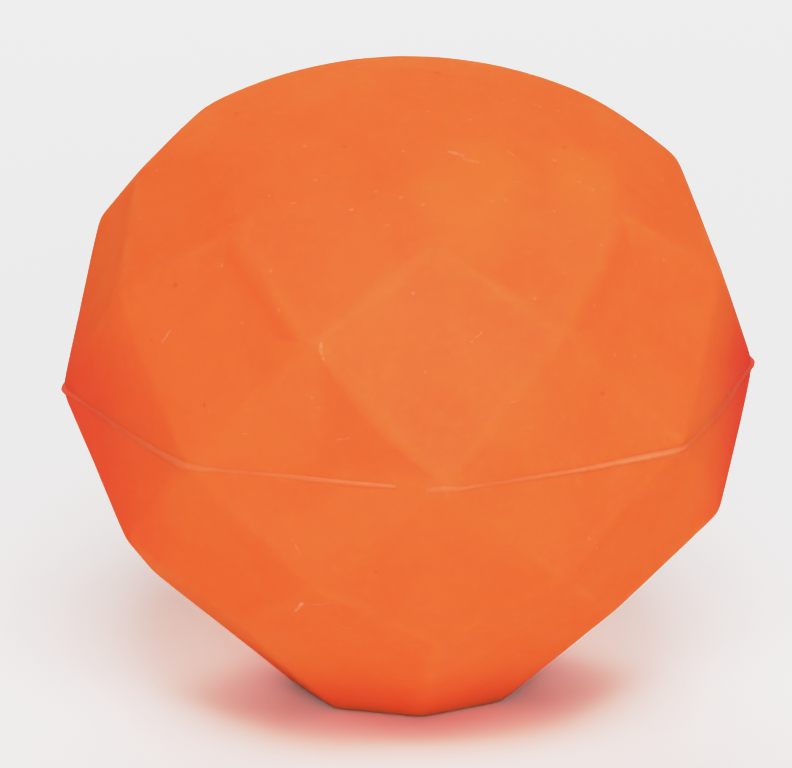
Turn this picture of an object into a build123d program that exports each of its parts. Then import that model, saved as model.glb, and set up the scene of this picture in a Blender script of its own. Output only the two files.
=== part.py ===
from build123d import *
import math
import os

# A palm-size practice pad of moulded rubber, shaped like a round brilliant gem with a smooth domed top.
# Two facetted half shells are bonded at the girdle, the widest line, around a solid soft core.
# A thin seam of bonding gum lies between them and stands a little proud all round.
# Millimetres. +Z is the gem's axis, up through the dome. The origin is the middle of the flat foot.

# Driving dimensions: the girdle
SIDES = 8
GIRDLE_RADIUS = 38.0  # axis to each corner; one corner is on +X
GIRDLE_MID_RADIUS = 35.9  # axis to the middle of each side, which bows out a little
SEAM_THICKNESS = 0.5
SEAM_PROUD = 0.5
FACET_EDGE_RADIUS = 0.5  # the moulding's edges are slightly soft

# Driving dimensions: the crown, above the girdle
CROWN_HEIGHT = 34.25
CROWN_KITE_ANGLE = 70.4  # degrees above horizontal, as are the other angles
CROWN_SHOULDER_RADIUS = 35.45  # axis to the points where two kites meet a star facet
STAR_ANGLE = 48.5
DOME_RADIUS = 47.4

# Driving dimensions: the pavilion, below the girdle
PAVILION_DEPTH = 35.15
PAVILION_KITE_ANGLE = 65.9
PAVILION_SHOULDER_RADIUS = 34.9  # axis to the points where two kites meet a main facet
PAVILION_MAIN_ANGLE = 43.9

# Driving dimensions: the core
CORE_RADIUS = 26.0
WALL = 6.5  # skin over the core at the dome, the main facets and the foot
CORE_SHOULDER_FILLET = 6.0
CORE_FOOT_FILLET = 4.0

# Worked out from the driving dimensions
STEP = 360 / SIDES
GIRDLE_Z = PAVILION_DEPTH
TOP_Z = GIRDLE_Z + CROWN_HEIGHT
DOME_CENTRE_Z = TOP_Z - DOME_RADIUS
BLANK_RADIUS = GIRDLE_RADIUS + 2.0  # the uncut blanks are wider than the finished gem
UP = 1
DOWN = -1


def spoke(azimuth):
    """Horizontal unit vector that points away from the axis at an azimuth in degrees."""
    return Vector(1, 0, 0).rotate(Axis.Z, azimuth)


def girdle_point(azimuth, radius, rise=0.0):
    """Point at a radius from the axis, and a rise above the girdle."""
    return spoke(azimuth) * radius + Vector(0, 0, GIRDLE_Z + rise)


def sloped_plane(azimuth, angle, point, side):
    """Facet plane through a point. It faces outwards at an azimuth, and up or down by its side."""
    tilt = math.radians(angle)
    normal = spoke(azimuth) * math.sin(tilt) + Vector(0, 0, side * math.cos(tilt))
    return Plane(origin=point, z_dir=normal)


def steep_plane(corner, middle, shoulder):
    """Facet plane through a girdle corner, the middle of a girdle side and the shoulder point by it."""
    normal = (middle - corner).cross(shoulder - corner)
    outward = Vector(middle.X, middle.Y, 0)
    if normal.dot(outward) < 0:
        normal = normal * -1
    return Plane(origin=corner, z_dir=normal)


def facet_planes(side, kite_angle, shoulder_radius, outer_angle):
    """The facets of one half: for each side of the girdle a kite, an outer facet and two steep ones."""
    half = STEP / 2
    rise_per_mm = side * math.tan(math.radians(kite_angle))
    shoulder_rise = rise_per_mm * (GIRDLE_RADIUS - shoulder_radius * math.cos(math.radians(half)))
    planes = []
    for index in range(SIDES):
        azimuth = index * STEP
        corner = girdle_point(azimuth, GIRDLE_RADIUS)
        shoulder = girdle_point(azimuth + half, shoulder_radius, shoulder_rise)
        planes.append(sloped_plane(azimuth, kite_angle, corner, side))
        planes.append(sloped_plane(azimuth + half, outer_angle, shoulder, side))
        for turn in (half, -half):
            middle = girdle_point(azimuth + turn, GIRDLE_MID_RADIUS)
            near_shoulder = girdle_point(azimuth + turn, shoulder_radius, shoulder_rise)
            planes.append(steep_plane(corner, middle, near_shoulder))
    return planes


def main_facet_offset_radius(height):
    """Radius, at a height, of the cone that lies one wall inside the pavilion's main facets."""
    tilt = math.radians(PAVILION_MAIN_ANGLE)
    half = math.radians(STEP / 2)
    drop = math.tan(math.radians(PAVILION_KITE_ANGLE))
    drop = drop * (GIRDLE_RADIUS - PAVILION_SHOULDER_RADIUS * math.cos(half))
    below_shoulder = (GIRDLE_Z - drop) - height
    return PAVILION_SHOULDER_RADIUS - (WALL + below_shoulder * math.cos(tilt)) / math.sin(tilt)


def main_facet_offset_height(radius):
    """Height at which that cone has a given radius."""
    slope = math.tan(math.radians(PAVILION_MAIN_ANGLE))
    return (radius - main_facet_offset_radius(0)) * slope


def is_off_axis(corner):
    """Whether a corner of a half profile lies off the axis, so that it can be rounded."""
    return corner.X > 1


def make_rebound_core():
    """Solid core of soft rubber: a drum with a domed top, a conical underside and a flat end."""
    dome_radius = DOME_RADIUS - WALL
    shoulder_z = DOME_CENTRE_Z + math.sqrt(dome_radius**2 - CORE_RADIUS**2)
    waist_z = main_facet_offset_height(CORE_RADIUS)
    foot_radius = main_facet_offset_radius(WALL)
    with BuildPart() as core:
        with BuildSketch(Plane.XZ) as profile:
            with BuildLine():
                dome = RadiusArc((0, DOME_CENTRE_Z + dome_radius), (CORE_RADIUS, shoulder_z), dome_radius)
                Polyline(dome @ 1, (CORE_RADIUS, waist_z), (foot_radius, WALL), (0, WALL), dome @ 0)
            make_face()
            foot, waist, shoulder = profile.vertices().filter_by(is_off_axis).sort_by(Axis.Y)
            fillet(foot, CORE_FOOT_FILLET)
            fillet([waist, shoulder], CORE_SHOULDER_FILLET)
        revolve(axis=Axis.Z)
    core.part.label = "rebound_core"
    export_step(core.part, "parts/rebound_core.step")
    return core.part


def make_crown_shell(core):
    """Upper half shell: a round blank with a spherical top, cut by the crown's facets."""
    base_z = GIRDLE_Z + SEAM_THICKNESS / 2
    edge_z = DOME_CENTRE_Z + math.sqrt(DOME_RADIUS**2 - BLANK_RADIUS**2)
    planes = facet_planes(UP, CROWN_KITE_ANGLE, CROWN_SHOULDER_RADIUS, STAR_ANGLE)
    with BuildPart() as crown:
        with BuildSketch(Plane.XZ):
            with BuildLine():
                dome = RadiusArc((0, TOP_Z), (BLANK_RADIUS, edge_z), DOME_RADIUS)
                Polyline(dome @ 1, (BLANK_RADIUS, base_z), (0, base_z), dome @ 0)
            make_face()
        revolve(axis=Axis.Z)
        for plane in planes:
            split(bisect_by=plane, keep=Keep.BOTTOM)
        bonding_edges = crown.faces().sort_by(Axis.Z)[0].edges()
        fillet(crown.edges() - bonding_edges, FACET_EDGE_RADIUS)
        add(core, mode=Mode.SUBTRACT)
    crown.part.label = "crown_shell"
    export_step(crown.part, "parts/crown_shell.step")


def make_pavilion_shell(core):
    """Lower half shell: a round blank as deep as the flat foot, cut by the pavilion's facets."""
    depth = GIRDLE_Z - SEAM_THICKNESS / 2
    planes = facet_planes(DOWN, PAVILION_KITE_ANGLE, PAVILION_SHOULDER_RADIUS, PAVILION_MAIN_ANGLE)
    with BuildPart() as pavilion:
        with BuildSketch(Plane.XY):
            Circle(BLANK_RADIUS)
        extrude(amount=depth)
        for plane in planes:
            split(bisect_by=plane, keep=Keep.BOTTOM)
        bonding_edges = pavilion.faces().sort_by(Axis.Z)[-1].edges()
        fillet(pavilion.edges() - bonding_edges, FACET_EDGE_RADIUS)
        add(core, mode=Mode.SUBTRACT)
    pavilion.part.label = "pavilion_shell"
    export_step(pavilion.part, "parts/pavilion_shell.step")


def make_girdle_seam(core):
    """Layer of bonding gum between the shells, squeezed out into a fine ridge round the girdle."""
    corners = []
    for index in range(SIDES):
        corners.append(spoke(index * STEP) * GIRDLE_RADIUS)
        corners.append(spoke((index + 0.5) * STEP) * GIRDLE_MID_RADIUS)
    with BuildPart() as seam:
        with BuildSketch(Plane.XY.offset(GIRDLE_Z - SEAM_THICKNESS / 2)):
            with BuildLine():
                Polyline(*corners, close=True)
            make_face()
            offset(amount=SEAM_PROUD)
        extrude(amount=SEAM_THICKNESS)
        add(core, mode=Mode.SUBTRACT)
    seam.part.label = "girdle_seam"
    export_step(seam.part, "parts/girdle_seam.step")


os.makedirs("parts", exist_ok=True)
rebound_core = make_rebound_core()
make_crown_shell(rebound_core)
make_pavilion_shell(rebound_core)
make_girdle_seam(rebound_core)
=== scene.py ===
import math

import bmesh
import bpy
import numpy as np
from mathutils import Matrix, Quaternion, Vector, noise


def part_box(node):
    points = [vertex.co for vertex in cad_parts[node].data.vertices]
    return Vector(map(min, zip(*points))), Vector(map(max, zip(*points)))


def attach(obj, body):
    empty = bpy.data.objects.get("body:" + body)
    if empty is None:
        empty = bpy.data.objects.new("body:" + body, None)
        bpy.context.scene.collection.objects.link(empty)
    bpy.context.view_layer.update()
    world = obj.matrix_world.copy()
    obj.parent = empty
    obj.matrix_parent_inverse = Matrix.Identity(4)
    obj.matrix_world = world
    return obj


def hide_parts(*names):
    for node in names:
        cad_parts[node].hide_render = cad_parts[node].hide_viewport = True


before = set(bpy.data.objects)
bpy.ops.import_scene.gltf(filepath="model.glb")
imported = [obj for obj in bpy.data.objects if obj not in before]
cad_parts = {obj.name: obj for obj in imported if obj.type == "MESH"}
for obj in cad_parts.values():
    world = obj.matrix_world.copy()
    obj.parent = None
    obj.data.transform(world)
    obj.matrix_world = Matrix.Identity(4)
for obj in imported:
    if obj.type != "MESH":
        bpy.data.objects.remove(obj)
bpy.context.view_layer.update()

# A gem-shaped practice pad of orange rubber: one translucent skin over the two bonded half shells,
# the fine seam ridge round its girdle, and the core inside. Metres, in the frame of the CAD model.

MM = 0.001

# The gem, as the CAD model has it
SIDES = 8
STEP = 2 * math.pi / SIDES
SEAM_PROUD = 0.5 * MM
CROWN_KITE_ANGLE = math.radians(70.4)
CROWN_SHOULDER_RADIUS = 35.45 * MM
STAR_ANGLE = math.radians(48.5)
DOME_RADIUS = 47.4 * MM
PAVILION_KITE_ANGLE = math.radians(65.9)
PAVILION_SHOULDER_RADIUS = 34.9 * MM
PAVILION_MAIN_ANGLE = math.radians(43.9)
GIRDLE_MID_RADIUS = 35.9 * MM

SEAM_LOW, SEAM_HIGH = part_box("girdle_seam")
GIRDLE_Z = (SEAM_LOW.z + SEAM_HIGH.z) / 2
GIRDLE_RADIUS = SEAM_HIGH.x - SEAM_PROUD
FOOT_DEPTH = GIRDLE_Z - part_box("pavilion_shell")[0].z
CROWN_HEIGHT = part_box("crown_shell")[1].z - GIRDLE_Z

# The moulding's softness, which the CAD model leaves out
EDGE_SOFTNESS = 0.2 * MM  # an edge between two facets sinks in by 0.7 of this
WAVE_HEIGHT = 0.07 * MM
WAVE_LENGTH = 11 * MM
RIPPLE_HEIGHT = 0.02 * MM
RIPPLE_LENGTH = 3.5 * MM


# ---------------------------------------------------------------- the gem's surface

def spoke(azimuth):
    """Horizontal unit vector at an azimuth in radians."""
    return np.array([math.cos(azimuth), math.sin(azimuth), 0.0])


def ring_point(azimuth, radius, rise=0.0):
    """Point relative to the girdle's centre."""
    return spoke(azimuth) * radius + np.array([0.0, 0.0, rise])


def sloped_facet(azimuth, angle, point, side):
    """Facet as its outward normal and its distance from the girdle's centre."""
    normal = spoke(azimuth) * math.sin(angle) + np.array([0.0, 0.0, side * math.cos(angle)])
    return normal, float(normal @ point)


def steep_facet(corner, middle, shoulder):
    """Facet through a girdle corner, the middle of a girdle side and a shoulder point."""
    normal = np.cross(middle - corner, shoulder - corner)
    normal /= np.linalg.norm(normal)
    if normal @ middle < 0:
        normal = -normal
    return normal, float(normal @ corner)


def half_gem(side, kite_angle, shoulder_radius, outer_angle):
    """Facets and corner points of the crown (side 1) or the pavilion (side -1)."""
    facets = []
    shoulders = []
    tips = []
    half = STEP / 2
    slope = math.tan(kite_angle)
    rise = slope * (GIRDLE_RADIUS - shoulder_radius * math.cos(half))
    outer_slope = math.tan(outer_angle)
    tip_radius = (slope * GIRDLE_RADIUS - rise - outer_slope * shoulder_radius)
    tip_radius /= slope - outer_slope * math.cos(half)
    tip_rise = slope * (GIRDLE_RADIUS - tip_radius)
    for index in range(SIDES):
        azimuth = index * STEP
        corner = ring_point(azimuth, GIRDLE_RADIUS)
        shoulder = ring_point(azimuth + half, shoulder_radius, side * rise)
        shoulders.append(shoulder)
        tips.append(ring_point(azimuth, tip_radius, side * tip_rise))
        facets.append(sloped_facet(azimuth, kite_angle, corner, side))
        facets.append(sloped_facet(azimuth + half, outer_angle, shoulder, side))
        for turn in (half, -half):
            middle = ring_point(azimuth + turn, GIRDLE_MID_RADIUS)
            near = ring_point(azimuth + turn, shoulder_radius, side * rise)
            facets.append(steep_facet(corner, middle, near))
    return facets, shoulders, tips


PER_SIDE = 4  # facets of each half for each side of the girdle: a kite, an outer one and two steep ones
OUTER = 1  # the outer one's place among them. It is a star facet on the crown, a main one on the pavilion.
CROWN = half_gem(1, CROWN_KITE_ANGLE, CROWN_SHOULDER_RADIUS, STAR_ANGLE)
PAVILION = half_gem(-1, PAVILION_KITE_ANGLE, PAVILION_SHOULDER_RADIUS, PAVILION_MAIN_ANGLE)
FOOT = (np.array([0.0, 0.0, -1.0]), FOOT_DEPTH)
FACETS = CROWN[0] + PAVILION[0] + [FOOT]
NORMALS = np.array([facet[0] for facet in FACETS])
# The moulding isn't quite even: it is lean at the -X corner, and full at the +X corner below the girdle
RIGHT_CROWN_SHIFT = 0.02 * MM
RIGHT_PAVILION_SHIFT = 0.32 * MM
LEFT_SHIFT = -0.15 * MM
# A facet whose normal leans along X by the first number stays put, and by the second shifts in full
CORNER_FACING = (0.8, 0.9)
FACING_RIGHT = np.interp(NORMALS[:, 0], CORNER_FACING, (0, 1))
FACING_LEFT = np.interp(-NORMALS[:, 0], CORNER_FACING, (0, 1))
RIGHT_SHIFT = np.where(NORMALS[:, 2] > 0, RIGHT_CROWN_SHIFT, RIGHT_PAVILION_SHIFT)
SHIFTS = FACING_RIGHT * RIGHT_SHIFT + FACING_LEFT * LEFT_SHIFT
DISTANCES = np.array([facet[1] for facet in FACETS]) + SHIFTS
DOME_CENTRE = np.array([0.0, 0.0, CROWN_HEIGHT - DOME_RADIUS])
SOLVER_STEPS = 14
SOLVER_START = 0.9  # a first guess, as a share of the girdle's radius
LEAST_SLOPE = 0.3  # keeps the solver's steps short near the corners


def surface_radius(directions, softness):
    """Distance from the girdle's centre to the softened surface, along unit directions."""
    radius = np.full(len(directions), GIRDLE_RADIUS * SOLVER_START)
    for _ in range(SOLVER_STEPS):
        points = directions * radius[:, None]
        outside = points @ NORMALS.T - DISTANCES
        slope = directions @ NORMALS.T
        from_dome = points - DOME_CENTRE
        reach = np.linalg.norm(from_dome, axis=1)
        outside = np.column_stack([outside, reach - DOME_RADIUS])
        slope = np.column_stack([slope, np.sum(from_dome * directions, axis=1) / reach])
        highest = outside.max(axis=1)
        weight = np.exp((outside - highest[:, None]) / softness)
        total = weight.sum(axis=1)
        value = highest + softness * np.log(total)
        gradient = np.sum(weight * slope, axis=1) / total
        radius = radius - value / np.maximum(gradient, LEAST_SLOPE)
    return radius


def on_surface(points, softness=EDGE_SOFTNESS):
    """Points moved along their spokes onto the softened surface."""
    directions = points / np.linalg.norm(points, axis=1)[:, None]
    return directions * surface_radius(directions, softness)[:, None]


# ---------------------------------------------------------------- the skin's mesh

# How far each row of a facet's grid lies from its edges, nearest the middle of each edge
ROWS = np.array([0, 0.2, 0.45, 0.8, 1.3, 2.0, 3.0, 4.4, 6.2, 8.5, 11, 13.5, 16, 18.5, 21, 23.5, 26, 28]) * MM
LAST_ROW = 0.86  # no row lies further in than this share of the way to the centre
EDGE_SPACING = 0.8 * MM
FEWEST_STEPS = 6
EASING = 0.6


def eased(count):
    """Steps from 0 to 1 that are closer together near both ends."""
    steps = np.linspace(0, 1, count + 1)
    return steps - EASING * np.sin(2 * math.pi * steps) / (2 * math.pi)


def straight_edge(start, end):
    """Points along a straight facet edge."""
    count = max(FEWEST_STEPS, round(np.linalg.norm(end - start) / EDGE_SPACING))
    return start + eased(count)[:, None] * (end - start)


def dome_edge(first, second):
    """Points along the arc where the star facet between two kite tips meets the dome."""
    chord = straight_edge(first, second)
    middle = (first + second) / 2
    azimuth = math.atan2(middle[1], middle[0])
    normal = spoke(azimuth) * math.sin(STAR_ANGLE) + np.array([0.0, 0.0, math.cos(STAR_ANGLE)])
    centre = DOME_CENTRE + normal * ((first - DOME_CENTRE) @ normal)
    radius = np.linalg.norm(first - centre)
    outwards = chord - centre
    return centre + outwards * (radius / np.linalg.norm(outwards, axis=1))[:, None]


def fan(edges, centre, vertices, faces):
    """Grid from a facet's edges in to its centre, with its rows closer together near the edges."""
    depth = np.mean([np.linalg.norm(edge[len(edge) // 2] - centre) for edge in edges])
    shares = 1 - ROWS[ROWS < depth * LAST_ROW] / depth
    for edge in edges:
        first = len(vertices)
        count = len(edge)
        for share in shares:
            vertices.extend(centre + share * (edge - centre))
        vertices.append(centre)
        hub = len(vertices) - 1
        for row in range(len(shares) - 1):
            low = first + row * count
            for step in range(count - 1):
                here = low + step
                faces.append((here, here + 1, here + 1 + count, here + count))
        last = first + (len(shares) - 1) * count
        for step in range(count - 1):
            faces.append((last + step, last + step + 1, hub))


def gem_skin_grid():
    """All the facets of the gem as fans of quads, relative to the girdle's centre."""
    vertices = []
    faces = []
    corners = [ring_point(k * STEP, GIRDLE_RADIUS) for k in range(SIDES)]
    middles = [ring_point((k + 0.5) * STEP, GIRDLE_MID_RADIUS) for k in range(SIDES)]
    top, bottom = CROWN, PAVILION
    slope = math.tan(PAVILION_MAIN_ANGLE)
    foot_inset = (FOOT_DEPTH + bottom[1][0][2]) / slope
    foot_radius = (PAVILION_SHOULDER_RADIUS - foot_inset) / math.cos(STEP / 2)
    foot = [ring_point(k * STEP, foot_radius, -FOOT_DEPTH) for k in range(SIDES)]
    dome_edges = []
    for k in range(SIDES):
        after = (k + 1) % SIDES
        before = k - 1
        for _, shoulders, tips in (top, bottom):
            outline = [corners[k], shoulders[k], tips[k], shoulders[before]]
            add_facet(outline, vertices, faces)
            add_facet([corners[k], middles[k], shoulders[k]], vertices, faces)
            add_facet([middles[k], corners[after], shoulders[k]], vertices, faces)
        arc = dome_edge(top[2][k], top[2][after])
        dome_edges.append(arc)
        shoulder = top[1][k]
        edges = [straight_edge(shoulder, top[2][k]), arc, straight_edge(top[2][after], shoulder)]
        centre = (shoulder + top[2][k] + top[2][after] + arc[len(arc) // 2]) / 4
        fan(edges, centre, vertices, faces)
        outline = [bottom[1][k], bottom[2][k], foot[k], foot[after], bottom[2][after]]
        add_facet(outline, vertices, faces)
    fan(dome_edges, np.array([0.0, 0.0, CROWN_HEIGHT]), vertices, faces)
    add_facet(foot, vertices, faces)
    return np.array(vertices), faces


def add_facet(outline, vertices, faces):
    """One flat facet with straight edges."""
    edges = []
    for start, end in zip(outline, outline[1:] + outline[:1]):
        if tuple(start) <= tuple(end):
            edges.append(straight_edge(start, end))
        else:
            edges.append(straight_edge(end, start)[::-1])
    fan(edges, np.mean(outline, axis=0), vertices, faces)


def waviness(point):
    """How far the moulded surface stands off its ideal shape at a point."""
    place = Vector(point)
    wave = noise.noise(place / WAVE_LENGTH + Vector((3.1, 7.7, 1.9)))
    ripple = noise.noise(place / RIPPLE_LENGTH + Vector((11.0, 2.0, 5.0)))
    fade = min(1.0, max(0.0, (point[2] + FOOT_DEPTH) / (2 * MM)))
    return (WAVE_HEIGHT * wave + RIPPLE_HEIGHT * ripple) * fade


def mesh_object(name, vertices, faces, marks):
    """Smooth-shaded, welded and closed mesh object from points relative to the girdle's centre.

    The marks are named lists of one number for each point, for the materials to read.
    """
    mesh = bpy.data.meshes.new(name)
    lifted = np.asarray(vertices) + np.array([0.0, 0.0, GIRDLE_Z])
    mesh.from_pydata([tuple(v) for v in lifted], [], faces)
    for mark, values in marks.items():
        mesh.attributes.new(mark, "FLOAT", "POINT").data.foreach_set("value", np.float32(values))
    work = bmesh.new()
    work.from_mesh(mesh)
    bmesh.ops.remove_doubles(work, verts=work.verts, dist=0.002 * MM)
    bmesh.ops.dissolve_degenerate(work, edges=work.edges, dist=0.001 * MM)
    bmesh.ops.recalc_face_normals(work, faces=work.faces)
    work.to_mesh(mesh)
    work.free()
    mesh.shade_smooth()
    piece = bpy.data.objects.new(name, mesh)
    bpy.context.scene.collection.objects.link(piece)
    return piece


EDGE_HIGHLIGHT_WIDTH = 0.95 * MM  # of the painted highlight, a paler band along each facet edge
OUTER_HIGHLIGHT = 1.0  # how strong the painted highlight is on the edges of the star and main facets
STEEP_HIGHLIGHT = 0.4  # how strong it is on the edges between the kites and the steep facets
PAVILION_HIGHLIGHT = 0.7  # the pavilion's edges have a fainter painted highlight than the crown's
SHADE_STRIP_MIDDLE = 1.9 * MM  # from a star facet's edge to the middle of the strip of painted shade on the kite beside it
SHADE_STRIP_WIDTH = 1.3 * MM
SHADE_STRIP_STARS = (1, 2)  # of each four star facets round the dome, those with strips of painted shade beside them
LAST_STEEP = 3  # the place of a corner's last steep facet among its side's facets
SHADED_SIDES = (2, 6)  # the sides whose last steep facet has painted shade all over, one in front and one at the back
SHADE_FADE = 1.5 * MM  # how near to that facet's edges the painted shade fades out
PLAIN_BEND = 0.1  # edges whose facets turn by less than this, as a sine, get no painted highlight at all
SHARP_BEND = 0.25  # and those that turn by more get it in full
LEAST_BEND = 0.05  # keeps distances from flat joins finite
CROWN_ZONE, PAVILION_ZONE, DOME_ZONE = range(3)  # the foot belongs to the pavilion's zone


def facet_normals(indices, points):
    """Outward normal at each point of the facet, or the dome, with each index."""
    normals = np.vstack([NORMALS, [[0.0, 0.0, 1.0]]])[indices]
    on_dome = indices == len(FACETS)
    outwards = points[on_dome] - DOME_CENTRE
    normals[on_dome] = outwards / np.linalg.norm(outwards, axis=1)[:, None]
    return normals


def facet_zones(indices):
    """The zone of the facet, or the dome, with each index."""
    flat = np.where(indices < len(CROWN[0]), CROWN_ZONE, PAVILION_ZONE)
    return np.where(indices < len(FACETS), flat, DOME_ZONE)


def nearest_edge(points):
    """Each point's own facet, the facet across its nearest edge, how far that edge is and its bend.

    The facets are given by their indices, with the dome after the last. The bend is a sine.
    """
    dome_level = np.linalg.norm(points - DOME_CENTRE, axis=1) - DOME_RADIUS
    levels = np.column_stack([points @ NORMALS.T - DISTANCES, dome_level])
    order = np.argsort(-levels, axis=1)
    first, second = order[:, 0], order[:, 1]
    rows = np.arange(len(points))
    gap = levels[rows, first] - levels[rows, second]
    cross = np.cross(facet_normals(first, points), facet_normals(second, points))
    bend = np.linalg.norm(cross, axis=1)
    return first, second, gap / np.maximum(bend, LEAST_BEND), bend


def edge_highlight_strength(first, second, away, bend):
    """How strong the painted highlight is along the edge between two facets. Edges between zones get none.
    """
    sharp = np.clip((bend - PLAIN_BEND) / (SHARP_BEND - PLAIN_BEND), 0, 1)
    same_zone = facet_zones(first) == facet_zones(second)
    highlight = np.exp(-((away / EDGE_HIGHLIGHT_WIDTH) ** 2)) * sharp * same_zone
    outer = (first % PER_SIDE == OUTER) | (second % PER_SIDE == OUTER)
    highlight *= np.where(outer, OUTER_HIGHLIGHT, STEEP_HIGHLIGHT)
    return highlight * np.where(facet_zones(first) == PAVILION_ZONE, PAVILION_HIGHLIGHT, 1.0)


def painted_shade_patches(first, second, away):
    """How much painted shade the skin has: in strips on every other kite of the crown, and on some steep
    facets.
    """
    kite = (first < len(CROWN[0])) & (first % (2 * PER_SIDE) == PER_SIDE)
    star = (second < len(CROWN[0])) & (second % PER_SIDE == OUTER)
    star &= np.isin(second // PER_SIDE % 4, SHADE_STRIP_STARS)
    strips = np.exp(-(((away - SHADE_STRIP_MIDDLE) / SHADE_STRIP_WIDTH) ** 2)) * (kite & star)
    steep = [side * PER_SIDE + LAST_STEEP for side in SHADED_SIDES]
    facets = np.isin(first, steep) * (1 - np.exp(-((away / SHADE_FADE) ** 2)))
    return np.maximum(strips, facets)


def skin_marks(points):
    """How strong the painted edge highlight and the painted shade are at each point."""
    first, second, away, bend = nearest_edge(points)
    return {
        "painted_edge_highlight": edge_highlight_strength(first, second, away, bend),
        "painted_shade": painted_shade_patches(first, second, away),
    }


def make_skin():
    """The rubber skin of both half shells."""
    grid, faces = gem_skin_grid()
    even = on_surface(grid)
    spokes = even / np.linalg.norm(even, axis=1)[:, None]
    heights = np.array([waviness(point) for point in even])
    return mesh_object("gem_skin", even + spokes * heights[:, None], faces, skin_marks(even))


# ---------------------------------------------------------------- the seam ridge

SEAM_STATIONS = 1800
SEAM_ROOT = 0.3 * MM  # how far the ridge is rooted inside the skin
SEAM_ROOT_WIDTH = 0.9  # the root's width as a share of the ridge's
SEAM_EDGE_DEPTH = 0.04 * MM  # the ridge's long edges lie this far inside the skin
SEAM_HEIGHT = 0.17 * MM
SEAM_FLUSH = 0.2  # below this multiple of SEAM_HEIGHT the ridge sinks towards the depth of its edges
SEAM_HALF_WIDTH = 0.4 * MM
SEAM_CREST = 0.5  # how pale the crest is for each multiple of SEAM_HEIGHT, up to 1
SECTION_STEPS = 8
ACROSS = np.linspace(-1, 1, SECTION_STEPS * 2 + 1)  # places across the ridge, as shares of its half width
BELL = np.cos(ACROSS * math.pi / 2) ** 1.5  # the ridge's profile
# Azimuth in degrees, and the ridge's height there as a multiple of SEAM_HEIGHT. Zero is trimmed flush.
SEAM_HEIGHTS = (
    (-180, 2.0),
    (-177, 0.8),
    (-170, 0.2),
    (-150, 0.2),
    (-141, 0.7),
    (-134, 1.0),
    (-129, 0.2),
    (-124, 0.2),
    (-118, 0.3),
    (-113, 0.6),
    (-105, 0.6),
    (-99, 0.5),
    (-97.5, 0.0),
    (-93.5, 0.0),
    (-92, 0.45),
    (-88.5, 0.42),
    (-86, 0.2),
    (-80, 0.22),
    (-76, 0.45),
    (-67, 0.7),
    (-62, 1.1),
    (-57, 1.7),
    (-51, 2.0),
    (-46, 1.2),
    (-42, 0.4),
    (-25, 0.25),
    (-8, 0.4),
    (-2, 1.7),
    (0, 2.5),
    (3, 1.6),
    (14, 0.4),
    (35, 0.8),
    (45, 1.5),
    (60, 0.5),
    (74, 0.0),
    (81, 0.0),
    (90, 1.4),
    (108, 1.0),
    (128, 0.4),
    (136, 1.3),
    (150, 0.9),
    (165, 0.4),
    (177, 0.8),
    (180, 2.0),
)
# Azimuth in degrees, and how far the joint lies below the girdle there, in millimetres
SEAM_SAGS = (
    (-180, 0.0),
    (-165, -0.1),
    (-150, 0.2),
    (-142, 0.35),
    (-134, 0.4),
    (-120, 0.15),
    (-105, 0.35),
    (-90, 0.45),
    (-70, 0.5),
    (-56, 0.6),
    (-45, 0.7),
    (-30, 0.4),
    (-15, 0.0),
    (0, 0.1),
    (60, 0.3),
    (120, 0.1),
    (180, 0.0),
)
# Places where the ridge is wider: azimuth and spread in degrees, and the extra share of its width
SEAM_SWELLS = (
    (-180, 2, 1.0),
    (-152, 13, 0.9),
    (-137, 4, 0.6),
    (-90.5, 2.2, 0.8),
    (-112, 8, 0.2),
    (-54, 8, 0.2),
    (-24, 16, 1.2),
    (0, 1.6, 1.3),
    (45, 3, 0.7),
    (90, 2, 0.8),
    (135, 3, 0.6),
)


def seam_height(azimuth):
    """The ridge's stand-off at an azimuth in degrees."""
    places, heights = zip(*SEAM_HEIGHTS)
    height = np.interp(azimuth, places, heights)
    around = Vector(spoke(math.radians(azimuth)))
    uneven = 0.35 * noise.noise(around * 20) + 0.45 * noise.noise(around * 60)
    return SEAM_HEIGHT * height * (1 + uneven)


def seam_half_width(azimuth):
    """Half the width of the ridge at an azimuth in degrees."""
    width = 1.0
    for place, spread, extra in SEAM_SWELLS:
        away = (azimuth - place + 180) % 360 - 180
        width += extra * math.exp(-((away / spread) ** 2))
    angle = math.radians(azimuth)
    width += 0.15 * noise.noise(Vector((math.cos(angle) * 30, math.sin(angle) * 30, 3.3)))
    return SEAM_HALF_WIDTH * width


def seam_level(azimuth):
    """Height of the joint above the girdle at an azimuth in degrees."""
    places, sags = zip(*SEAM_SAGS)
    angle = math.radians(azimuth)
    wander = noise.noise(Vector((math.cos(angle) * 5, math.sin(angle) * 5, 2.5)))
    return (0.08 * wander - np.interp(azimuth, places, sags)) * MM


def seam_section(azimuth):
    """A loop over the ridge and back along its root, at an azimuth in degrees.

    It is given as points near the skin, how far beyond the skin each lies, and how pale each is.
    """
    level = seam_level(azimuth)
    half_width = seam_half_width(azimuth)
    height = seam_height(azimuth)
    share_of_full = height / SEAM_HEIGHT
    lift = height + SEAM_EDGE_DEPTH * min(share_of_full / SEAM_FLUSH, 1)
    turn = math.radians(azimuth)
    shares = [*ACROSS, SEAM_ROOT_WIDTH, -SEAM_ROOT_WIDTH]
    points = [ring_point(turn, GIRDLE_RADIUS, level + share * half_width) for share in shares]
    reaches = [*(BELL * lift - SEAM_EDGE_DEPTH), -SEAM_ROOT, -SEAM_ROOT]
    crests = [*(BELL * min(SEAM_CREST * share_of_full, 1)), 0, 0]
    return points, reaches, crests


def tube_faces(stations, size):
    """Quads between the loops of a closed ring of loops."""
    faces = []
    for station in range(stations):
        here = station * size
        there = (station + 1) % stations * size
        for step in range(size):
            after = (step + 1) % size
            faces.append((here + step, here + after, there + after, there + step))
    return faces


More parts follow.
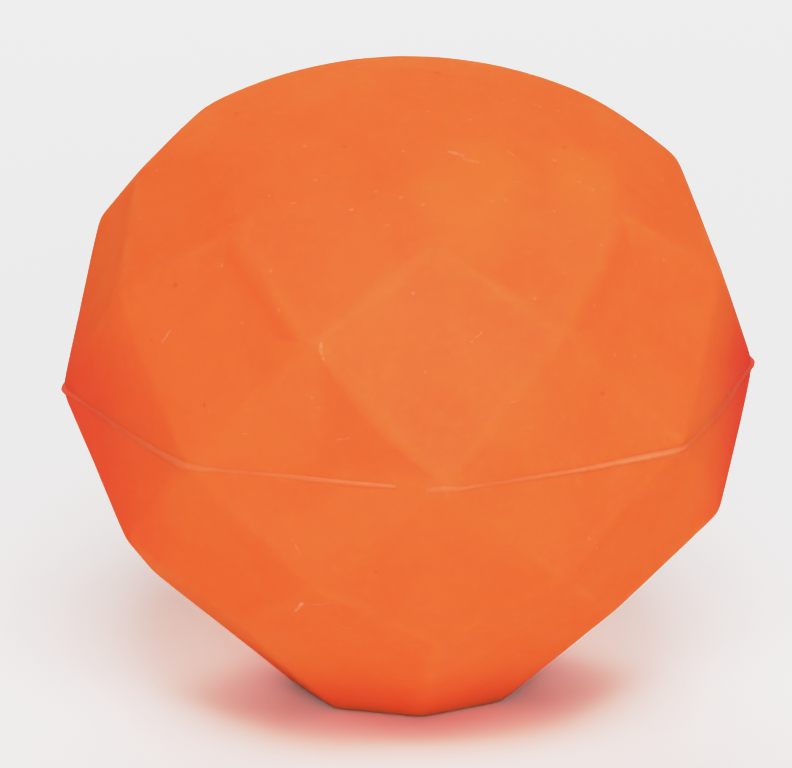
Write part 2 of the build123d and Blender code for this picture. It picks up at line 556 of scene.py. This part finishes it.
def make_seam():
    """The uneven bead of gum that stands out of the joint round the girdle."""
    sections = [seam_section(azimuth) for azimuth in np.linspace(-180, 180, SEAM_STATIONS, endpoint=False)]
    points, reaches, crests = (np.concatenate(values) for values in zip(*sections))
    skin = on_surface(points)
    out = skin * np.array([1.0, 1.0, 0.0])
    out /= np.linalg.norm(out, axis=1)[:, None]
    heights = np.array([waviness(point) for point in skin])
    vertices = skin + out * (reaches + heights)[:, None]
    faces = tube_faces(SEAM_STATIONS, len(points) // SEAM_STATIONS)
    return mesh_object("seam_ridge", vertices, faces, {"crest": crests})


# ---------------------------------------------------------------- materials

class Nodes:
    """Short calls to build one material's node tree."""

    def __init__(self, name):
        self.material = bpy.data.materials.new(name)
        self.material.use_nodes = True
        self.tree = self.material.node_tree
        self.shader = self.tree.nodes["Principled BSDF"]

    def add(self, kind, **settings):
        """New node with some of its properties set."""
        node = self.tree.nodes.new(kind)
        for name, value in settings.items():
            setattr(node, name, value)
        return node

    def join(self, source, target):
        """Link from an output socket to an input socket."""
        self.tree.links.new(source, target)

    def place(self, stretch=(1.0, 1.0, 1.0), turn=(0.0, 0.0, 0.0)):
        """Position on the object, in metres, stretched and turned."""
        coordinates = self.add("ShaderNodeTexCoord")
        mapping = self.add("ShaderNodeMapping")
        mapping.inputs["Scale"].default_value = stretch
        mapping.inputs["Rotation"].default_value = turn
        self.join(coordinates.outputs["Object"], mapping.inputs["Vector"])
        return mapping.outputs["Vector"]

    def noise(self, place, size, detail=2.0, roughness=0.5):
        """Noise from 0 to 1 whose blotches are about a size in metres."""
        node = self.add("ShaderNodeTexNoise")
        node.inputs["Scale"].default_value = 1 / size
        node.inputs["Detail"].default_value = detail
        node.inputs["Roughness"].default_value = roughness
        self.join(place, node.inputs["Vector"])
        return node.outputs["Fac"]

    def attribute(self, name):
        """A number stored on the mesh's vertices."""
        return self.add("ShaderNodeAttribute", attribute_name=name).outputs["Fac"]

    def remap(self, value, low, high, to_low=0.0, to_high=1.0):
        """Smooth step from one range to another."""
        node = self.add("ShaderNodeMapRange", interpolation_type="SMOOTHSTEP")
        self.join(value, node.inputs["Value"])
        ends = (low, high, to_low, to_high)
        for socket, end in zip(("From Min", "From Max", "To Min", "To Max"), ends):
            node.inputs[socket].default_value = end
        return node.outputs["Result"]

    def math(self, operation, first, second):
        """Result of an operation on two numbers or sockets."""
        node = self.add("ShaderNodeMath", operation=operation)
        for index, value in enumerate((first, second)):
            if isinstance(value, (int, float)):
                node.inputs[index].default_value = value
            else:
                self.join(value, node.inputs[index])
        return node.outputs[0]

    def vector(self, operation, first, second):
        """Node for an operation on two vectors or sockets."""
        node = self.add("ShaderNodeVectorMath", operation=operation)
        for index, value in enumerate((first, second)):
            if isinstance(value, (tuple, Vector)):
                node.inputs[index].default_value = value
            else:
                self.join(value, node.inputs[index])
        return node

    def distance(self, place, point):
        """Distance from a point on the object."""
        return self.vector("DISTANCE", place, point).outputs["Value"]

    def segment_distance(self, place, start, end):
        """Distance from a straight line between two points on the object."""
        run = end - start
        offset = self.vector("SUBTRACT", place, start).outputs["Vector"]
        along = self.vector("DOT_PRODUCT", offset, run / run.length_squared).outputs["Value"]
        share = self.add("ShaderNodeClamp")
        self.join(along, share.inputs["Value"])
        foot = self.add("ShaderNodeVectorMath", operation="SCALE")
        foot.inputs[0].default_value = run
        self.join(share.outputs["Result"], foot.inputs["Scale"])
        return self.vector("DISTANCE", offset, foot.outputs["Vector"]).outputs["Value"]

    def wobbled(self, place, size, reach):
        """Position shifted by up to half of reach each way, in waves of about a size."""
        node = self.add("ShaderNodeTexNoise")
        node.inputs["Scale"].default_value = 1 / size
        node.inputs["Detail"].default_value = 1.0
        self.join(place, node.inputs["Vector"])
        centred = self.vector("SUBTRACT", node.outputs["Color"], (0.5, 0.5, 0.5)).outputs["Vector"]
        shift = self.add("ShaderNodeVectorMath", operation="SCALE")
        self.join(centred, shift.inputs[0])
        shift.inputs["Scale"].default_value = reach
        return self.vector("ADD", place, shift.outputs["Vector"]).outputs["Vector"]

    def specks(self, place, spacing, radius):
        """Mask of small specks at random points. The radius is a share of their spacing."""
        node = self.add("ShaderNodeTexVoronoi")
        node.inputs["Scale"].default_value = 1 / spacing
        self.join(place, node.inputs["Vector"])
        return self.remap(node.outputs["Distance"], radius, 0.1 * radius)

    def height(self, place):
        """Height above the foot, in metres."""
        split = self.add("ShaderNodeSeparateXYZ")
        self.join(place, split.inputs["Vector"])
        return split.outputs["Z"]

    def glow_and_shade_mask(self, place):
        """Where painted shade and red glow deepen the skin's colour: by the girdle's corners on the X axis
        and round the foot.
        """
        split = self.add("ShaderNodeSeparateXYZ")
        self.join(place, split.inputs["Vector"])
        rise = self.math("SUBTRACT", split.outputs["Z"], GIRDLE_Z)
        near = self.math("MINIMUM", self.remap(rise, *CORNER_ABOVE), self.remap(rise, *CORNER_BELOW))
        right = self.remap(split.outputs["X"], *CORNER_RIGHT)
        left = self.remap(split.outputs["X"], *CORNER_LEFT)
        corners = self.math("MULTIPLY", self.math("MAXIMUM", right, left), near)
        return self.math("MAXIMUM", corners, self.remap(split.outputs["Z"], *FOOT_GLOW_AND_SHADE))

    def largest(self, values):
        """The largest of some sockets' values."""
        result = values[0]
        for value in values[1:]:
            result = self.math("MAXIMUM", result, value)
        return result

    def mix(self, factor, first, second):
        """Blend of two colours."""
        node = self.add("ShaderNodeMix", data_type="RGBA")
        self.join(factor, node.inputs["Factor"])
        for socket, value in (("A", first), ("B", second)):
            target = [s for s in node.inputs if s.name == socket and s.type == "RGBA"][0]
            if isinstance(value, tuple):
                target.default_value = (*value, 1.0)
            else:
                self.join(value, target)
        return [s for s in node.outputs if s.type == "RGBA"][0]


ORANGE = (0.93, 0.177, 0.043)
ORANGE_DEEP = (0.93, 0.163, 0.039)
ORANGE_PALE = (0.935, 0.195, 0.049)
# painted light in faint patches beside the dome's edge
PAINTED_LIGHT_ORANGE = (0.94, 0.197, 0.044)
# painted highlight along the facet edges
EDGE_HIGHLIGHT_ORANGE = (0.937, 0.196, 0.048)
# painted shade on some kites and steep facets
PAINTED_SHADE_ORANGE = (0.922, 0.153, 0.037)
GUM = (0.937, 0.192, 0.054)
GUM_CREST = (0.955, 0.262, 0.11)
# painted shade and red glow at the corners on the X axis and round the foot
CORNER_GLOW_AND_SHADE = (0.92, 0.045, 0.037)
# the same painted shade and red glow on the seam, a little paler
SEAM_GLOW_AND_SHADE = (0.96, 0.1, 0.07)
# The painted shade and red glow: from one coordinate to another, then the mask's value at each where it
# isn't 0 and 1.
# Above and below the girdle, out to the corners on the X axis, and down to the foot.
CORNER_ABOVE = (15 * MM, 1 * MM)
CORNER_BELOW = (-22 * MM, -10 * MM)
CORNER_RIGHT = (28 * MM, 38 * MM, 0.0, 0.85)
CORNER_LEFT = (-25 * MM, -38.5 * MM, 0.0, 0.62)
FOOT_GLOW_AND_SHADE = (9 * MM, 0.0, 0.0, 0.45)
LINT = (0.96, 0.42, 0.24)
PIT = (0.8, 0.075, 0.025)
SCATTER = (14.0, 1.2, 0.6)  # how far red, green and blue light spread inside the skin, in millimetres
GUM_SCATTER = (0.5, 0.2, 0.1)
CORE_DARK = (0.6, 0.12, 0.03)
CORE_LIGHT = (0.7, 0.16, 0.05)
FLOOR_WHITE = (0.86, 0.86, 0.86, 1.0)

# Marks on the skin, as directions from the girdle's centre: azimuth and elevation in degrees.
# Pale scuffs and lint: two ends, then half the width in millimetres and the strength
PALE_MARKS = (
    ((-81, 60), (-77, 58.5), 0.36, 0.45),
    ((-77.5, 57.5), (-73.5, 56.5), 0.3, 0.4),
    ((-61, 58), (-60, 55), 0.14, 0.35),
    ((-111, 23), (-110.5, 20.5), 0.2, 0.42),
    ((-144, 20.5), (-145, 18.5), 0.22, 0.55),
    ((-119, -29), (-116.5, -25.5), 0.24, 0.7),
    ((-114.5, -26), (-110, -24.5), 0.14, 0.45),
    ((-145, 55.5), (-143, 60), 0.1, 0.3),
    ((-84, 23.5), (-82, 25), 0.12, 0.35),
    ((-108, 7), (-106, 7.5), 0.16, 0.4),
    ((-63, -13.5), (-60.5, -16.5), 0.2, 0.35),
    ((-116.5, -11.5), (-115, -14), 0.12, 0.4),
    ((-22.5, 65.5), (-22, 64.5), 0.22, 0.6),
    ((-109.5, 46.5), (-109, 46.5), 0.18, 0.6),
    ((-131.5, 47), (-131, 47), 0.2, 0.55),
    ((75, 30), (78, 26), 0.16, 0.5),
    ((140, -20), (136, -24), 0.2, 0.45),
    ((30, 62), (36, 59), 0.3, 0.4),
)
# Small dark red pits: centre, then the radius in millimetres
DARK_PITS = (
    ((-180, 59), 0.42),
    ((10, 84), 0.5),
    ((-145.5, 28), 0.4),
    ((-147.5, 18), 0.3),
    ((-133, 10), 0.32),
    ((-60.5, 12), 0.36),
    ((-41, 55), 0.35),
    ((-118.5, 61), 0.28),
    ((55, 20), 0.35),
    ((100, -15), 0.3),
)
# Painted light in faint lighter patches beside the dome's edge: centre, then the radius in millimetres
LIT_PATCHES = (((-80, 49), 6.5), ((-71, 54), 5.0), ((-45, 48), 5.5), ((30, 50), 6.0), ((130, 52), 6.0))


def skin_point(azimuth, elevation):
    """Point of the skin in a direction in degrees, in the object's own coordinates."""
    level = math.radians(elevation)
    direction = spoke(math.radians(azimuth)) * math.cos(level)
    direction[2] = math.sin(level)
    point = on_surface(direction[None, :])[0]
    return Vector((point[0], point[1], point[2] + GIRDLE_Z))


def lit_patch_mask(nodes, place):
    """Where painted light makes the skin faintly lighter in patches."""
    soft = nodes.wobbled(place, 4 * MM, 4 * MM)
    patches = []
    for centre, radius in LIT_PATCHES:
        away = nodes.distance(soft, skin_point(*centre))
        patches.append(nodes.remap(away, 1.4 * radius * MM, 0.4 * radius * MM))
    return nodes.largest(patches)


def scuff_mask(nodes, place, wobble):
    """Where the skin is scuffed. The scuffs are broken up by fine wear."""
    scuffs = []
    for start, end, width, strength in PALE_MARKS:
        away = nodes.segment_distance(wobble, skin_point(*start), skin_point(*end))
        scuffs.append(nodes.remap(away, width * MM, 0.3 * width * MM, 0.0, strength))
    worn = nodes.remap(nodes.noise(place, 0.7 * MM, 2.0), 0.38, 0.6, 0.35, 1.0)
    return nodes.math("MULTIPLY", nodes.largest(scuffs), worn)


def lint_mask(nodes):
    """Thin fibres at random places."""
    strands = nodes.wobbled(nodes.place((1.0, 5.0, 5.0), (0.5, 0.3, 0.9)), 4 * MM, 5 * MM)
    return nodes.math("MULTIPLY", nodes.specks(strands, 14 * MM, 0.08), 0.2)


def dust_mask(nodes, place):
    """Specks of dust, of which more have settled above the girdle."""
    settled = nodes.remap(nodes.height(place), GIRDLE_Z, GIRDLE_Z + 25 * MM, 0.08, 0.36)
    return nodes.math("MULTIPLY", nodes.specks(place, 3.4 * MM, 0.095), settled)


def pit_mask(nodes, wobble):
    """Where the skin is pitted: at DARK_PITS, and at random."""
    pits = [nodes.specks(nodes.place((1.0, 1.0, 1.0), (0.7, 0.2, 0.4)), 9 * MM, 0.035)]
    for centre, radius in DARK_PITS:
        away = nodes.distance(wobble, skin_point(*centre))
        pits.append(nodes.remap(away, radius * MM, 0.4 * radius * MM))
    return nodes.largest(pits)


def add_marks(nodes, place, colour):
    """Painted light in patches, then scuffs, lint, dust and pits laid over a colour, and the mask of the
    pits.
    """
    wobble = nodes.wobbled(place, 0.9 * MM, 0.5 * MM)
    # Painted light: faint lighter patches beside the dome's edge.
    colour = nodes.mix(lit_patch_mask(nodes, place), colour, PAINTED_LIGHT_ORANGE)
    pale = nodes.largest([scuff_mask(nodes, place, wobble), lint_mask(nodes), dust_mask(nodes, place)])
    colour = nodes.mix(pale, colour, LINT)
    pits = pit_mask(nodes, wobble)
    return nodes.mix(nodes.math("MULTIPLY", pits, 0.5), colour, PIT), pits


def rubber_material():
    """Satin, slightly translucent moulded rubber with dust, lint, scuffs and small pits, and with painted
    highlights, light and shade.
    """
    nodes = Nodes("orange_rubber_skin")
    shader = nodes.shader
    place = nodes.place()
    blotch = nodes.remap(nodes.noise(place, 9 * MM, 3.0), 0.35, 0.65)
    colour = nodes.mix(blotch, ORANGE_DEEP, ORANGE)
    grain = nodes.remap(nodes.noise(place, 1.4 * MM, 4.0, 0.6), 0.45, 0.8)
    colour = nodes.mix(nodes.math("MULTIPLY", grain, 0.6), colour, ORANGE_PALE)
    # Painted shade: darker strips on some kites, and two darker steep facets.
    colour = nodes.mix(nodes.attribute("painted_shade"), colour, PAINTED_SHADE_ORANGE)
    # Painted highlight: a paler band along the facet edges, broken up by noise.
    patchy = nodes.remap(nodes.noise(place, 7 * MM, 4.0, 0.65), 0.38, 0.62, 0.1, 1.0)
    highlight = nodes.math("MULTIPLY", nodes.attribute("painted_edge_highlight"), patchy)
    colour = nodes.mix(highlight, colour, EDGE_HIGHLIGHT_ORANGE)
    # Painted shade and red glow at the X-axis corners and round the foot.
    colour = nodes.mix(nodes.glow_and_shade_mask(place), colour, CORNER_GLOW_AND_SHADE)
    colour, pits = add_marks(nodes, place, colour)
    nodes.join(colour, shader.inputs["Base Color"])
    rough = nodes.remap(nodes.noise(place, 4 * MM, 3.0), 0.3, 0.7, 0.56, 0.66)
    nodes.join(rough, shader.inputs["Roughness"])
    fine = nodes.noise(place, 0.35 * MM, 3.0, 0.6)
    relief = nodes.math("SUBTRACT", fine, nodes.math("MULTIPLY", pits, 3.0))
    bump = nodes.add("ShaderNodeBump")
    bump.inputs["Strength"].default_value = 0.3
    bump.inputs["Distance"].default_value = 0.03 * MM
    nodes.join(relief, bump.inputs["Height"])
    nodes.join(bump.outputs["Normal"], shader.inputs["Normal"])
    shader.subsurface_method = "RANDOM_WALK"
    shader.inputs["Subsurface Weight"].default_value = 1.0
    shader.inputs["Subsurface Radius"].default_value = SCATTER
    shader.inputs["Subsurface Scale"].default_value = MM
    shader.inputs["IOR"].default_value = 1.43
    shader.inputs["Specular IOR Level"].default_value = 0.16
    return nodes.material


def seam_material():
    """The paler gum of the seam."""
    nodes = Nodes("seam_gum_ridge")
    shader = nodes.shader
    place = nodes.place()
    mottle = nodes.remap(nodes.noise(place, 1.5 * MM, 3.0), 0.3, 0.7)
    colour = nodes.mix(mottle, ORANGE, GUM)
    colour = nodes.mix(nodes.attribute("crest"), colour, GUM_CREST)
    # The same painted shade and red glow at the corners and the foot.
    nodes.join(nodes.mix(nodes.glow_and_shade_mask(place), colour, SEAM_GLOW_AND_SHADE), shader.inputs["Base Color"])
    rough = nodes.remap(nodes.noise(place, 0.8 * MM, 2.0), 0.3, 0.7, 0.4, 0.55)
    nodes.join(rough, shader.inputs["Roughness"])
    shader.subsurface_method = "RANDOM_WALK"
    shader.inputs["Subsurface Weight"].default_value = 1.0
    shader.inputs["Subsurface Radius"].default_value = GUM_SCATTER
    shader.inputs["Subsurface Scale"].default_value = MM
    return nodes.material


def core_material():
    """Dull soft rubber of the core."""
    nodes = Nodes("core_soft_rubber")
    shader = nodes.shader
    place = nodes.place()
    blotch = nodes.remap(nodes.noise(place, 6 * MM, 3.0), 0.3, 0.7)
    nodes.join(nodes.mix(blotch, CORE_DARK, CORE_LIGHT), shader.inputs["Base Color"])
    rough = nodes.remap(nodes.noise(place, 2 * MM, 2.0), 0.3, 0.7, 0.65, 0.8)
    nodes.join(rough, shader.inputs["Roughness"])
    return nodes.material


def floor_material():
    """Plain pale matt floor."""
    nodes = Nodes("pale_floor")
    nodes.shader.inputs["Base Color"].default_value = FLOOR_WHITE
    nodes.shader.inputs["Roughness"].default_value = 0.9
    return nodes.material


def dress(piece, material):
    """Give a piece one material in place of those it has."""
    piece.data.materials.clear()
    piece.data.materials.append(material)


# ---------------------------------------------------------------- pieces

skin = make_skin()
dress(skin, rubber_material())
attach(skin, "root")
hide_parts("crown_shell", "pavilion_shell")

ridge = make_seam()
dress(ridge, seam_material())
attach(ridge, "root")
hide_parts("girdle_seam")

dress(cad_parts["rebound_core"], core_material())


# ---------------------------------------------------------------- floor, lights and camera

FLOOR_SIZE = 6.0


def make_floor():
    """Square floor, level with the foot."""
    mesh = bpy.data.meshes.new("floor")
    half = FLOOR_SIZE / 2
    corners = [(-half, -half, 0), (half, -half, 0), (half, half, 0), (-half, half, 0)]
    mesh.from_pydata(corners, [], [(0, 1, 2, 3)])
    mesh.materials.append(floor_material())
    floor = bpy.data.objects.new("floor", mesh)
    bpy.context.scene.collection.objects.link(floor)
    floor.visible_glossy = False


def towards(azimuth, elevation):
    """Unit vector from the gem towards a light or the camera. Azimuth 0 is in front of it, at -Y."""
    level = math.cos(elevation)
    return Vector((math.sin(azimuth) * level, -math.cos(azimuth) * level, math.sin(elevation)))


SOFTBOX_SIZE = 0.5
SOFTBOX_DISTANCE = 0.9


def make_softbox(name, azimuth, elevation, power):
    """Square area light that faces the gem, with its angles in degrees."""
    back = towards(math.radians(azimuth), math.radians(elevation))
    data = bpy.data.lights.new(name, "AREA")
    data.shape = "SQUARE"
    data.size = SOFTBOX_SIZE
    data.energy = power
    light = bpy.data.objects.new(name, data)
    light.location = Vector((0, 0, GIRDLE_Z)) + back * SOFTBOX_DISTANCE
    light.rotation_mode = "QUATERNION"
    light.rotation_quaternion = back.to_track_quat("Z", "Y")
    bpy.context.scene.collection.objects.link(light)
    return light


CAMERA_AZIMUTH = math.radians(-5.82)
CAMERA_ELEVATION = math.radians(18.36)
CAMERA_ROLL = math.radians(0.38)
CAMERA_DISTANCE = 28.7 * GIRDLE_RADIUS
GIRDLE_RADIUS_IN_PICTURE = 0.4404  # as a share of the picture's width
AIM_RIGHT = -1.26 * MM
AIM_UP = -0.92 * MM
SENSOR = 36.0


def make_camera():
    """Long-lens camera a little above the girdle, in front."""
    data = bpy.data.cameras.new("camera")
    data.sensor_fit = "HORIZONTAL"
    data.sensor_width = SENSOR
    data.lens = SENSOR * GIRDLE_RADIUS_IN_PICTURE * CAMERA_DISTANCE / GIRDLE_RADIUS
    data.clip_start = 0.05
    data.clip_end = 20
    camera = bpy.data.objects.new("camera", data)
    back = towards(CAMERA_AZIMUTH, CAMERA_ELEVATION)
    right = Vector((math.cos(CAMERA_AZIMUTH), math.sin(CAMERA_AZIMUTH), 0))
    up = back.cross(right)
    aim = Vector((0, 0, GIRDLE_Z)) + right * AIM_RIGHT + up * AIM_UP
    camera.location = aim + back * CAMERA_DISTANCE
    camera.rotation_mode = "QUATERNION"
    facing = back.to_track_quat("Z", "Y")
    roll = Quaternion((0, 0, 1), -CAMERA_ROLL)
    camera.rotation_quaternion = facing @ roll
    bpy.context.scene.collection.objects.link(camera)
    bpy.context.scene.camera = camera


make_floor()
make_softbox("front_light", 0, 12, 5.4)
make_softbox("key_light", 0, 58, 5.6)
make_softbox("right_light", 90, 50, 0.4)
for name, azimuth, elevation, power in (
    ("back_light", 180, 30, 5.0),
    ("left_back_light", -135, 8, 2.2),
    ("right_back_light", 135, 20, 0.8),
):
    make_softbox(name, azimuth, elevation, power).visible_glossy = False

world = bpy.data.worlds.new("studio")
world.use_nodes = True
world.node_tree.nodes["Background"].inputs["Color"].default_value = (1, 1, 1, 1)
world.node_tree.nodes["Background"].inputs["Strength"].default_value = 0.02
bpy.context.scene.world = world


# Points of the film's response: brightness in, brightness out
SHOULDER = ((0.3, 0.3), (0.55, 0.68), (0.75, 0.8), (1.0, 0.86), (1.6, 0.92))


def set_film_response():
    """Plain display with a soft shoulder, as a camera has, so that bright reds don't clip."""
    view = bpy.context.scene.view_settings
    view.view_transform = "Standard"
    view.use_curve_mapping = True
    mapping = view.curve_mapping
    mapping.use_clip = False
    mapping.extend = "HORIZONTAL"
    curve = mapping.curves[3]
    curve.points[1].location = SHOULDER[-1]
    for place, value in SHOULDER[:-1]:
        curve.points.new(place, value)
    mapping.update()


set_film_response()

make_camera()
